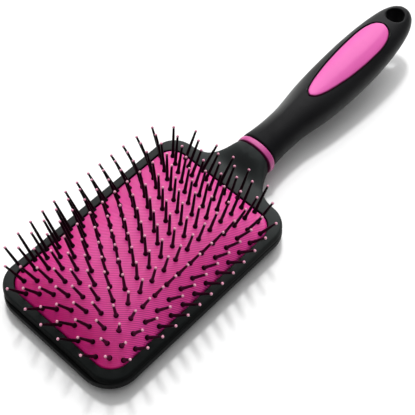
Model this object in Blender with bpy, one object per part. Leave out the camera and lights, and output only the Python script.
"""Cushioned paddle hair brush, lying on its back with the pins up.

Frame: +X across the brush, +Y from the toe of the head towards the handle,
+Z the way the pins point.  The origin is on the resting face of the back,
under the middle of the air cushion.

Every length below is in millimetres.
"""
import math

import bmesh
import bpy
import numpy as np
from mathutils import Vector
from mathutils.geometry import delaunay_2d_cdt

MM = 0.001
GAP = 0.3               # assembly gap between fixed pieces

# head
RIM_Z = 12.0            # rim face above the resting plane
PART_Z = 7.8            # parting line between back shell and front frame
FRAME_HALF = 36.5       # half width of the front frame
FRAME_TOE = -54.4
SHELL_HALF = FRAME_HALF + 0.2   # the back shell stands a little proud all round
SHELL_TOE = -56.0
FLOOR_Z = 2.0           # floor of the back shell's pocket

# opening for the cushion
OPEN_X, OPEN_Y, OPEN_R = 32.0, 50.0, 9.0
OPEN_CHAMFER_X, OPEN_CHAMFER_Z = 0.6, 0.7

# plate under the cushion
TRAY_TOP, TRAY_LOW = 4.6, 3.4
VENT_R = 3.0
LEG_HALF = 2.0
LEG_X = (-22.0, 22.0)
LEG_Y = (-36.0, 0.0, 36.0)

# cushion
CUSHION_EDGE = (31.3, 49.4, 8.2)  # half width, half length, corner radius
DOME_Z = 11.5           # height of the cushion's edge
DOME_H = 9.5            # rise of the crown over the edge
DOME_HALF_X, DOME_HALF_Y = 31.57, 49.7
DOME_POWER_X, DOME_POWER_Y = 3.24, 3.27
MEMBRANE = 1.6

# pins: a staggered field, 13 lengthwise rows
PITCH_X, PITCH_Y = 5.42, 3.5
CROWD_X, CROWD_Y = 0.075, 0.022   # the rows close up towards the edges
EDGE_ROW = 6            # number of the outermost row, counted from the middle
EDGE_STEP = 14          # number of the last lengthwise step
FAN_X, FAN_Y = 33.9, 54.24        # lengths that scale the pins' fanning
PIN_LENGTH = 15.5
RUNNER_GAP = 0.5        # between the membrane and the runner under it
RUNNER_HALF = 0.65
RUNNER_H = 1.0
HOLE_X, HOLE_Y = 1.2, 0.85        # half sizes of a pin's hole in the membrane
# sections of a pin: height above the membrane, half width
PIN_SECTIONS = (
    (2.0, 0.46), (PIN_LENGTH - 1.25, 0.40), (PIN_LENGTH - 0.55, 0.58),
)

# neck
AXIS_Z = 12.1           # height of the neck's centre line
NECK_HALF = 10.6
NECK_END = 69.6
NECK_RELIEF = 0.3       # from the centre line to the shell, and to the frame, at the neck's end
NECK_SHELL_Z = 3.6      # underside of the shell at the neck's end
NECK_FRAME_RISE = 8.35  # rise of the frame's top over the rim at the neck's end
RING_Y0, RING_Y1 = NECK_END + GAP, 73.7
RING_BEVEL = 0.4
TANG_Y0 = 64.4
TANG_X, TANG_Z = 6.0, 3.0         # half sizes of the handle's tang
TANG_PLAY = 0.4
TROUGH_Y0 = 63.9

# handle
GRIP_Y0 = RING_Y1 + GAP
GRIP_WALL = 2.0
CORE_INSET = GRIP_WALL + GAP
CORE_END = 166.5
CORE_WALL = 2.2         # sides of the channel in the handle's core
CHANNEL_Y = (80.0, 94.0, 110.0, 127.0, 143.0, 150.0, 160.0)
CHANNEL_ROOF = 2.5      # above the handle's centre line
CHANNEL_REACH = 12.0    # depth of its cutter below the centre line
BORE_Y, BORE_R = 173.4, 4.3
BORE_REACH = 15.0       # reach of its cutter either side of the centre line
BEND_Y, BEND_RUN, BEND_RISE, BEND_POWER = 80.0, 100.0, 9.0, 2.1
SECTION_N = 20          # points round a handle section
SECTION_POWER = 0.92    # 1 is an ellipse; less is squarer

# stations along the handle: y, half width, half height
HANDLE = np.array([
    (GRIP_Y0, 9.9, 8.3), (80.0, 9.3, 7.9), (87.0, 9.0, 7.7), (94.0, 9.1, 7.8),
    (102.0, 10.0, 8.2), (110.0, 11.2, 8.6), (118.0, 12.0, 8.8), (127.0, 12.5, 9.0),
    (135.0, 12.7, 9.0), (143.0, 12.7, 8.9), (150.0, 12.4, 8.7), (157.0, 11.9, 8.4),
    (163.0, 11.1, 8.0), (169.0, 9.9, 7.4), (174.0, 8.4, 6.6), (178.0, 6.7, 5.5),
    (180.8, 4.6, 4.1), (182.3, 2.0, 2.2),
])
# outline of the inlay: y, half width
INLAY = np.array([
    (109.2, 0.0), (110.0, 1.7), (112.0, 3.0), (115.0, 4.1), (119.0, 5.1),
    (124.0, 6.0), (130.0, 6.9), (137.0, 7.5), (144.0, 7.8), (151.0, 7.8),
    (156.0, 7.3), (159.5, 6.3), (162.0, 4.8), (163.6, 2.7), (164.2, 0.0),
])
# rows of points inside the inlay's outline, which let it follow the handle
INLAY_INNER_Y = (113.0, 119.0, 126.0, 133.0, 140.0, 147.0, 153.0, 158.5)
INLAY_INNER_SHARES = (0.0, 0.55, -0.55)
INLAY_TOP, INLAY_LOW = -0.1, -1.0     # from the handle's surface
INLAY_PLAY = 0.35       # round the inlay in its recess

# base colour, roughness
MATERIALS = {
    "black_abs": ((0.030, 0.034, 0.034), 0.55),
    "black_frame": ((0.045, 0.052, 0.052), 0.5),
    "black_nylon": ((0.010, 0.010, 0.012), 0.4),
    "pink_rubber": ((0.72, 0.045, 0.24), 0.6),
    "black_soft_touch": ((0.018, 0.018, 0.021), 0.7),
    "pink_gloss": ((0.80, 0.12, 0.42), 0.3),
    "pink_satin": ((0.85, 0.20, 0.50), 0.35),
    "natural_plastic": ((0.55, 0.55, 0.53), 0.6),
    "core_plastic": ((0.06, 0.06, 0.065), 0.6),
}


# ---------------------------------------------------------------- heights
def ramp(y, start, end):
    """Smooth step from 0 at start to 1 at end."""
    t = min(max((y - start) / (end - start), 0.0), 1.0)
    return t * t * (3 - 2 * t)


def axis_z(y):
    """Centre line: level at the neck, rising gently to the end of the handle."""
    return AXIS_Z + BEND_RISE * (max(y - BEND_Y, 0.0) / BEND_RUN) ** BEND_POWER


def part_z(y):
    """Top of the back shell."""
    return PART_Z + (AXIS_Z - NECK_RELIEF - PART_Z) * ramp(y, 57.0, NECK_END)


def shell_bottom_z(y):
    return NECK_SHELL_Z * ramp(y, 52.0, NECK_END)


def frame_low_z(y):
    return part_z(y) + GAP + NECK_RELIEF * ramp(y, 52.0, 56.0)


def frame_top_z(y):
    return RIM_Z + NECK_FRAME_RISE * ramp(y, 56.4, NECK_END)


def dome(x, y):
    """Height of the cushion's upper face."""
    u = min(abs(x) / DOME_HALF_X, 1.0)
    v = min(abs(y) / DOME_HALF_Y, 1.0)
    return DOME_Z + DOME_H * (1 - u ** DOME_POWER_X) * (1 - v ** DOME_POWER_Y)


# ---------------------------------------------------------------- pin field
def pin_axis(x, y):
    """Pins lean outwards, most of all at the edges; the polynomials set the lean."""
    u, v = x / FAN_X, y / FAN_Y
    axis = np.array([
        u * (0.13 + 1.68 * u * u - 0.86 * u ** 4 - 0.23 * v * v - 0.67 * v ** 4),
        v * (0.20 + 0.40 * v * v + 0.50 * v ** 4 - 0.45 * u * u - 0.10 * u ** 4),
        1.0,
    ])
    return axis / np.linalg.norm(axis)


def pin_frame(x, y):
    """Unit vectors at a pin: its axis, across the brush and along it."""
    axis = pin_axis(x, y)
    across = np.cross((0.0, 1.0, 0.0), axis)
    across /= np.linalg.norm(across)
    return axis, across, np.cross(axis, across)


def pin_rows():
    """[(x of the row, [y of each pin])], left to right."""
    rows = []
    for i in range(-EDGE_ROW, EDGE_ROW + 1):
        x = PITCH_X * i * (1 - CROWD_X * (i / EDGE_ROW) ** 2)
        last = EDGE_STEP - 2 if abs(i) == EDGE_ROW else EDGE_STEP
        ys = [
            PITCH_Y * j * (1 - CROWD_Y * (j / EDGE_STEP) ** 2)
            for j in range(-last, last + 1)
            if (j - i) % 2 == 0
        ]
        rows.append((x, ys))
    return rows


# ---------------------------------------------------------------- mesh helpers
class Body:
    """A closed surface put together from rings of points."""

    def __init__(self):
        self.points, self.faces = [], []

    def ring(self, points):
        """Add points and return their indices."""
        first = len(self.points)
        self.points += [tuple(float(c) for c in p) for p in points]
        return list(range(first, len(self.points)))

    def level(self, outline, z):
        """A ring at one height."""
        return self.ring([(x, y, z) for x, y in outline])

    def bridge(self, a, b):
        n = len(a)
        for i in range(n):
            j = (i + 1) % n
            self.faces.append((a[i], a[j], b[j], b[i]))

    def chain(self, rings):
        for a, b in zip(rings, rings[1:]):
            self.bridge(a, b)

    def cap(self, loops, axes=(0, 1), extra=()):
        """Fill the outer loop less the others, which are convex holes.

        The fill is worked out in the plane of the two axes; extra points lie inside it.
        """
        index = [i for loop in loops for i in loop] + list(extra)
        flat = [Vector([self.points[i][axis] for axis in axes]) for i in index]
        owner, edges = [], []
        for number, loop in enumerate(loops):
            first, n = len(owner), len(loop)
            edges += [(first + i, first + (i + 1) % n) for i in range(n)]
            owner += [number] * n
        owner += [-1] * len(extra)
        filled = delaunay_2d_cdt(flat, edges, [], 1, 1e-7)
        source = [origins[0] for origins in filled[3]]
        for triangle in filled[2]:
            ids = [source[i] for i in triangle]
            owners = {owner[i] for i in ids}
            if len(owners) == 1 and min(owners) > 0:
                continue    # inside a hole
            self.faces.append(tuple(index[i] for i in ids))

    def fan(self, ring, tip):
        """Close a ring with a cone to the tip."""
        apex = self.ring([tip])[0]
        n = len(ring)
        for i in range(n):
            self.faces.append((ring[i], ring[(i + 1) % n], apex))


def build(name, body, material=None, smooth_shade=False, origin=(0.0, 0.0, 0.0)):
    mesh = bpy.data.meshes.new(name)
    mesh.from_pydata(
        [tuple((c - o) * MM for c, o in zip(p, origin)) for p in body.points], [], body.faces
    )
    bm = bmesh.new()
    bm.from_mesh(mesh)
    bmesh.ops.triangulate(bm, faces=bm.faces[:])
    bmesh.ops.recalc_face_normals(bm, faces=bm.faces[:])
    if bm.calc_volume(signed=True) < 0:
        bmesh.ops.reverse_faces(bm, faces=bm.faces[:])
    for face in bm.faces:
        face.smooth = smooth_shade
    bm.to_mesh(mesh)
    bm.free()
    ob = bpy.data.objects.new(name, mesh)
    ob.location = [c * MM for c in origin]
    if material is not None:
        mesh.materials.append(material)
    bpy.context.scene.collection.objects.link(ob)
    return ob


def build_cutter(outlines):
    """A solid through a row of outlines, with a flat face at each end."""
    body = Body()
    rings = [body.ring(outline) for outline in outlines]
    body.chain(rings)
    body.faces += [tuple(rings[0]), tuple(rings[-1])]
    return build("cutter", body)


def cut(ob, cutter):
    """Take the cutter out of the object, and remove the cutter."""
    mod = ob.modifiers.new("cut", "BOOLEAN")
    mod.operation = "DIFFERENCE"
    mod.solver = "EXACT"
    mod.object = cutter
    bpy.context.view_layer.update()
    evaluated = ob.evaluated_get(bpy.context.evaluated_depsgraph_get())
    mesh = bpy.data.meshes.new_from_object(evaluated)
    ob.modifiers.clear()
    old = ob.data
    ob.data = mesh
    mesh.name = old.name
    bpy.data.meshes.remove(old)
    bpy.data.objects.remove(cutter)


def make_material(name, colour, roughness):
    material = bpy.data.materials.new(name)
    material.use_nodes = True
    bsdf = material.node_tree.nodes["Principled BSDF"]
    bsdf.inputs["Base Color"].default_value = (*colour, 1.0)
    bsdf.inputs["Roughness"].default_value = roughness
    return material


# ---------------------------------------------------------------- outlines
def circle(radius, count):
    angles = [2 * math.pi * k / count for k in range(count)]
    return [(radius * math.cos(t), radius * math.sin(t)) for t in angles]


def quarter_arc(centre_x, centre_y, radius, start, steps):
    """Anticlockwise quarter circle from the start angle, in degrees."""
    angles = [math.radians(start + 90.0 * k / steps) for k in range(steps + 1)]
    return [(centre_x + radius * math.cos(t), centre_y + radius * math.sin(t)) for t in angles]


def rounded(half_x, half_y, radius):
    """Rounded rectangle, anticlockwise."""
    points = []
    for sx, sy, start in ((1, 1, 0.0), (-1, 1, 90.0), (-1, -1, 180.0), (1, -1, 270.0)):
        points += quarter_arc(sx * (half_x - radius), sy * (half_y - radius), radius, start, 5)
        x0, y0 = points[-1]
        # a straight side follows: along x after the first and third corners
        x1, y1, parts = (-x0, y0, 4) if sx == sy else (x0, -y0, 6)
        for k in range(1, parts):
            points.append((x0 + (x1 - x0) * k / parts, y0 + (y1 - y0) * k / parts))
    return points


def head_side(half, toe, toe_r, shoulder, shoulder_r):
    """The right side of the head's outline, from the middle of the toe to the neck."""
    points = [(0.0, toe), ((half - toe_r) * 0.5, toe)]
    points += quarter_arc(half - toe_r, toe + toe_r, toe_r, -90, 6)
    points += [(half, -20.0), (half, 0.0), (half, 20.0)]
    points += quarter_arc(half - shoulder_r, shoulder - shoulder_r, shoulder_r, 0, 6)
    # a cubic curve from the shoulder into the neck
    p0, p1, p2, p3 = points[-1], (17.0, shoulder), (11.7, 61.5), (NECK_HALF, NECK_END)
    for k in range(1, 9):
        t = k / 8
        b = ((1 - t) ** 3, 3 * t * (1 - t) ** 2, 3 * t * t * (1 - t), t ** 3)
        points.append(tuple(
            b[0] * p0[i] + b[1] * p1[i] + b[2] * p2[i] + b[3] * p3[i] for i in (0, 1)
        ))
    return np.array(points)


def offset_side(side, move):
    """Move each point of a side along its outward normal; the ends keep to their lines."""
    step = np.gradient(side, axis=0)
    normal = np.stack([step[:, 1], -step[:, 0]], 1)
    normal /= np.linalg.norm(normal, axis=1, keepdims=True)
    normal[0], normal[-1] = (0.0, -1.0), (1.0, 0.0)
    return side + normal * move[:, None]


def whole(side):
    """Both sides of a symmetric outline as one loop; points on the middle line occur once."""
    left = side[side[:, 0] > 0][::-1] * np.array([-1.0, 1.0])
    return np.concatenate([side, left])


def handle_half(y, inset=0.0):
    """Half width and half height of the handle."""
    return tuple(np.interp(y, HANDLE[:, 0], HANDLE[:, k]) - inset for k in (1, 2))


def section(y, half):
    """An oval across the handle, of the given half width and half height."""
    half_x, half_z = half
    points = []
    for k in range(SECTION_N):
        t = 2 * math.pi * k / SECTION_N
        ct, st = math.cos(t), math.sin(t)
        points.append((
            half_x * math.copysign(abs(ct) ** SECTION_POWER, ct),
            y,
            axis_z(y) + half_z * math.copysign(abs(st) ** SECTION_POWER, st),
        ))
    return points


def handle_rings(body, inset, end):
    """Rings inset from the handle's surface, at its stations as far as the end."""
    stations = [*HANDLE[HANDLE[:, 0] < end, 0], end]
    return [body.ring(section(y, handle_half(y, inset))) for y in stations]


def handle_top(x, y):
    half_x, half_z = handle_half(y)
    n = 2 / SECTION_POWER
    return axis_z(y) + half_z * max(1 - min(abs(x) / half_x, 1.0) ** n, 0.0) ** (1 / n)


# ---------------------------------------------------------------- head
def cut_trough(ob):
    """Cut the slot in the neck that holds the handle's tang."""
    x = TANG_X + TANG_PLAY
    low, high = AXIS_Z - TANG_Z - TANG_PLAY, AXIS_Z + TANG_Z + TANG_PLAY
    cut(ob, build_cutter([
        [(-x, y, low), (x, y, low), (x, y, high), (-x, y, high)]
        for y in (TROUGH_Y0, NECK_END + 3.0)
    ]))


def back_shell(material):
    side = head_side(SHELL_HALF, SHELL_TOE, 15.0, 56.5, 12.2)
    neck = np.array([ramp(y, 55.0, 67.0) for y in side[:, 1]])
    body = Body()
    rings = []
    # share of the height from underside to parting line, outward move
    for share, move in ((0.0, -6.5), (0.05, -4.2), (0.17, -2.0), (0.37, -0.6), (0.64, 0.0),
                        (0.88, -0.2), (1.0, -0.7)):
        loop = whole(offset_side(side, move * (1 - 0.25 * neck)))
        rings.append(body.ring([
            (x, y, shell_bottom_z(y) + share * (part_z(y) - shell_bottom_z(y))) for x, y in loop
        ]))
    body.chain(rings)
    body.cap([rings[0]])
    # the pocket
    mouth = body.ring([(x, y, part_z(y)) for x, y in rounded(34.0, 52.6, 10.5)])
    wall_foot = body.level(rounded(33.8, 52.4, 10.3), FLOOR_Z + 1.0)
    floor = body.level(rounded(32.0, 50.6, 8.6), FLOOR_Z)
    body.cap([rings[-1], mouth])
    body.chain([mouth, wall_foot, floor])
    body.cap([floor])
    cut_trough(build("back_shell", body, material))


def front_frame(material):
    side = head_side(FRAME_HALF, FRAME_TOE, 12.4, 55.9, 12.0)
    neck = np.array([ramp(y, 53.0, 66.0) for y in side[:, 1]])
    body = Body()
    rings = []
    # share of the height from parting line to top, outward move at the head and at the neck
    for share, head_move, neck_move in ((0.0, -0.6, 0.0), (0.25, -0.3, -0.2), (0.68, 0.0, -1.3),
                                        (0.9, -0.3, -3.3), (1.0, -1.0, -6.2)):
        loop = whole(offset_side(side, head_move + (neck_move - head_move) * neck))
        rings.append(body.ring([
            (x, y, frame_low_z(y) + share * (frame_top_z(y) - frame_low_z(y))) for x, y in loop
        ]))
    body.chain(rings)
    # the opening, chamfered at the rim
    chamfered = rounded(*(size + OPEN_CHAMFER_X for size in (OPEN_X, OPEN_Y, OPEN_R)))
    opening = rounded(OPEN_X, OPEN_Y, OPEN_R)
    top = body.level(chamfered, RIM_Z)
    middle = body.level(opening, RIM_Z - OPEN_CHAMFER_Z)
    low = body.ring([(x, y, part_z(y) + GAP) for x, y in opening])
    body.cap([rings[-1], top])
    body.chain([top, middle, low])
    body.cap([rings[0], low])
    cut_trough(build("front_frame", body, material))


def support_tray(material):
    """Plate under the air cushion, on six short legs, with an air vent in its middle."""
    body = Body()
    outline = rounded(31.0, 49.0, 8.0)
    vent = circle(VENT_R, 12)
    top, low = [body.level(outline, z) for z in (TRAY_TOP, TRAY_LOW)]
    vent_top, vent_low = [body.level(vent, z) for z in (TRAY_TOP, TRAY_LOW)]
    body.bridge(top, low)
    body.bridge(vent_top, vent_low)
    body.cap([top, vent_top])
    legs = []
    for x in LEG_X:
        for y in LEG_Y:
            square = [
                (x + sx * LEG_HALF, y + sy * LEG_HALF)
                for sx, sy in ((-1, -1), (1, -1), (1, 1), (-1, 1))
            ]
            root = body.level(square, TRAY_LOW)
            foot = body.level(square, FLOOR_Z + GAP)
            body.bridge(root, foot)
            body.faces.append(tuple(foot))
            legs.append(root)
    body.cap([low, vent_low, *legs])
    build("support_tray", body, material)


def air_cushion(material):
    """The crowned membrane, pierced for every pin, with the flange that the frame holds down."""

    def beneath(point, axis):
        return tuple(np.array(point) - MEMBRANE * axis)

    body = Body()
    edge = [(x, y, dome(x, y)) for x, y in rounded(*CUSHION_EDGE)]
    top = body.ring(edge)
    under = body.ring([beneath(p, pin_axis(p[0], p[1])) for p in edge])
    holes_top, holes_under = [], []
    for x, ys in pin_rows():
        for y in ys:
            axis, across, along = pin_frame(x, y)
            corners = []
            for sx, sy in ((1, 1), (-1, 1), (-1, -1), (1, -1)):
                c = np.array((x, y, 0.0)) + sx * HOLE_X * across + sy * HOLE_Y * along
                corners.append((c[0], c[1], dome(c[0], c[1])))
            holes_top.append(body.ring(corners))
            holes_under.append(body.ring([beneath(c, axis) for c in corners]))
    body.cap([top, *holes_top])
    upper_faces = list(body.faces)
    below = dict(zip(top, under))
    for a, b in zip(holes_top, holes_under):
        below.update(zip(a, b))
        body.bridge(a, b)
    # the underside repeats the upper face, so the holes meet it exactly
    body.faces += [tuple(below[i] for i in face[::-1]) for face in upper_faces]
    # skirt and flange: half width, half length, corner radius, z
    flange = [
        body.level(rounded(half_x, half_y, radius), z)
        for half_x, half_y, radius, z in (
            (31.5, 49.6, 8.5, 10.6), (31.5, 49.6, 8.5, 7.7), (33.4, 51.5, 10.2, 7.7),
            (33.4, 51.5, 10.2, 6.5), (29.4, 47.4, 6.4, 6.5),
        )
    ]
    body.chain([top, *flange, under])
    build("air_cushion", body, material)


def pin_row(number, x, ys, material):
    """One runner with its pins: it lies under the membrane, the pins stand through it."""
    body = Body()
    last = None
    for y in ys:
        axis, across, along = pin_frame(x, y)
        base = np.array((x, y, dome(x, y)))

        def square(centre, half):
            return body.ring([
                centre + sx * half * across + sy * half * along
                for sx, sy in ((1, -1), (1, 1), (-1, 1), (-1, -1))
            ])

        high = base - axis * (MEMBRANE + RUNNER_GAP)
        deck = square(high, RUNNER_HALF)
        sole = square(high - axis * RUNNER_H, RUNNER_HALF)
        # deck and sole corners: 0 right-toe, 1 right-handle, 2 left-handle, 3 left-toe
        body.faces += [
            (deck[0], deck[1], sole[1], sole[0]),
            (deck[2], deck[3], sole[3], sole[2]),
            tuple(sole),
        ]
        if last is None:
            body.faces.append((deck[3], deck[0], sole[0], sole[3]))
        else:
            last_deck, last_sole = last
            body.faces += [
                (last_deck[1], last_deck[2], deck[3], deck[0]),
                (last_sole[1], last_sole[2], sole[3], sole[0]),
                (last_deck[1], deck[0], sole[0], last_sole[1]),
                (last_deck[2], deck[3], sole[3], last_sole[2]),
            ]
        if y == ys[-1]:
            body.faces.append((deck[1], deck[2], sole[2], sole[1]))
        rings = [square(base + axis * height, half) for height, half in PIN_SECTIONS]
        body.chain([deck, *rings])
        body.fan(rings[-1], base + axis * PIN_LENGTH)
        last = deck, sole
    # the origin is at the membrane's mean mid-height along the row
    origin_z = float(np.mean([dome(x, y) for y in ys])) - MEMBRANE / 2
    build(f"pin_row_{number:02d}", body, material, origin=(x, 0.0, origin_z))


# ---------------------------------------------------------------- handle
def neck_ring(material):
    body = Body()
    # y, half width, half height: round the outside, then back through the inside
    profile = (
        (RING_Y0, 10.1, 8.0), (RING_Y0 + RING_BEVEL, NECK_HALF, 8.5),
        (RING_Y1 - RING_BEVEL, NECK_HALF, 8.5), (RING_Y1, 10.1, 8.2),
        (RING_Y1, 7.4, 4.4), (RING_Y0, 7.4, 4.4),
    )
    rings = [body.ring(section(y, half)) for y, *half in profile]
    body.chain(rings + rings[:1])
    build("neck_ring", body, material, smooth_shade=True)


def channel_outline(y):
    half_x = handle_half(y, CORE_INSET)[0] - CORE_WALL
    low, high = axis_z(y) - CHANNEL_REACH, axis_z(y) + CHANNEL_ROOF
    return [(-half_x, y, low), (half_x, y, low), (half_x, y, high), (-half_x, y, high)]


def handle_core(material):
    """Core of the handle, with the tang that reaches into the neck."""
    body = Body()
    rings = [body.ring(section(y, (TANG_X, TANG_Z))) for y in (TANG_Y0, GRIP_Y0)]
    rings += handle_rings(body, CORE_INSET, CORE_END)
    body.chain(rings)
    body.cap([rings[0]], axes=(0, 2))
    body.cap([rings[-1]], axes=(0, 2))
    ob = build("handle_core", body, material, smooth_shade=True)
    # a channel in the underside keeps the handle light, so the brush rests on its head
    cut(ob, build_cutter([channel_outline(y) for y in CHANNEL_Y]))


def inlay_loop(grow):
    loop = whole(INLAY[:, ::-1])
    step = np.roll(loop, -1, axis=0) - np.roll(loop, 1, axis=0)
    normal = np.stack([step[:, 1], -step[:, 0]], 1)
    return loop + grow * normal / np.linalg.norm(normal, axis=1, keepdims=True)


def inlay_patch(name, grow, top, low, material=None):
    """A slab that follows the top of the handle, between two heights above its surface."""
    body = Body()
    inner = [
        (share * float(np.interp(y, INLAY[:, 0], INLAY[:, 1])), y)
        for y in INLAY_INNER_Y
        for share in INLAY_INNER_SHARES
    ]
    high, deep, high_inner, deep_inner = [
        body.ring([(x, y, handle_top(x, y) + height) for x, y in points])
        for points in (inlay_loop(grow), inner)
        for height in (top, low)
    ]
    body.bridge(high, deep)
    body.cap([high], extra=high_inner)
    body.cap([deep], extra=deep_inner)
    return build(name, body, material)


def handle_grip(material):
    """Hollow grip, bored through near its end and recessed for the inlay."""
    body = Body()
    outer = [body.ring(section(y, handle_half(y))) for y in HANDLE[:, 0]]
    inner = handle_rings(body, GRIP_WALL, CORE_END + GAP)
    body.chain(outer)
    body.chain(inner)
    body.bridge(outer[0], inner[0])
    body.cap([outer[-1]], axes=(0, 2))
    body.cap([inner[-1]], axes=(0, 2))
    ob = build("handle_grip", body, material, smooth_shade=True)
    middle = axis_z(BORE_Y)
    cut(ob, build_cutter([
        [(x, BORE_Y + y, z) for x, y in circle(BORE_R, 20)]
        for z in (middle - BORE_REACH, middle + BORE_REACH)
    ]))
    # the recess cutter stands well clear of the surface
    cut(ob, inlay_patch("inlay_cutter", grow=INLAY_PLAY, top=6.0, low=INLAY_LOW - GAP))


def main():
    for ob in list(bpy.data.objects):
        bpy.data.objects.remove(ob)
    materials = {name: make_material(name, *look) for name, look in MATERIALS.items()}
    back_shell(materials["black_abs"])
    front_frame(materials["black_frame"])
    support_tray(materials["natural_plastic"])
    air_cushion(materials["pink_rubber"])
    for number, (x, ys) in enumerate(pin_rows(), 1):
        pin_row(number, x, ys, materials["black_nylon"])
    neck_ring(materials["pink_gloss"])
    handle_core(materials["core_plastic"])
    handle_grip(materials["black_soft_touch"])
    inlay_patch("handle_inlay", 0.0, INLAY_TOP, INLAY_LOW, materials["pink_satin"])


main()
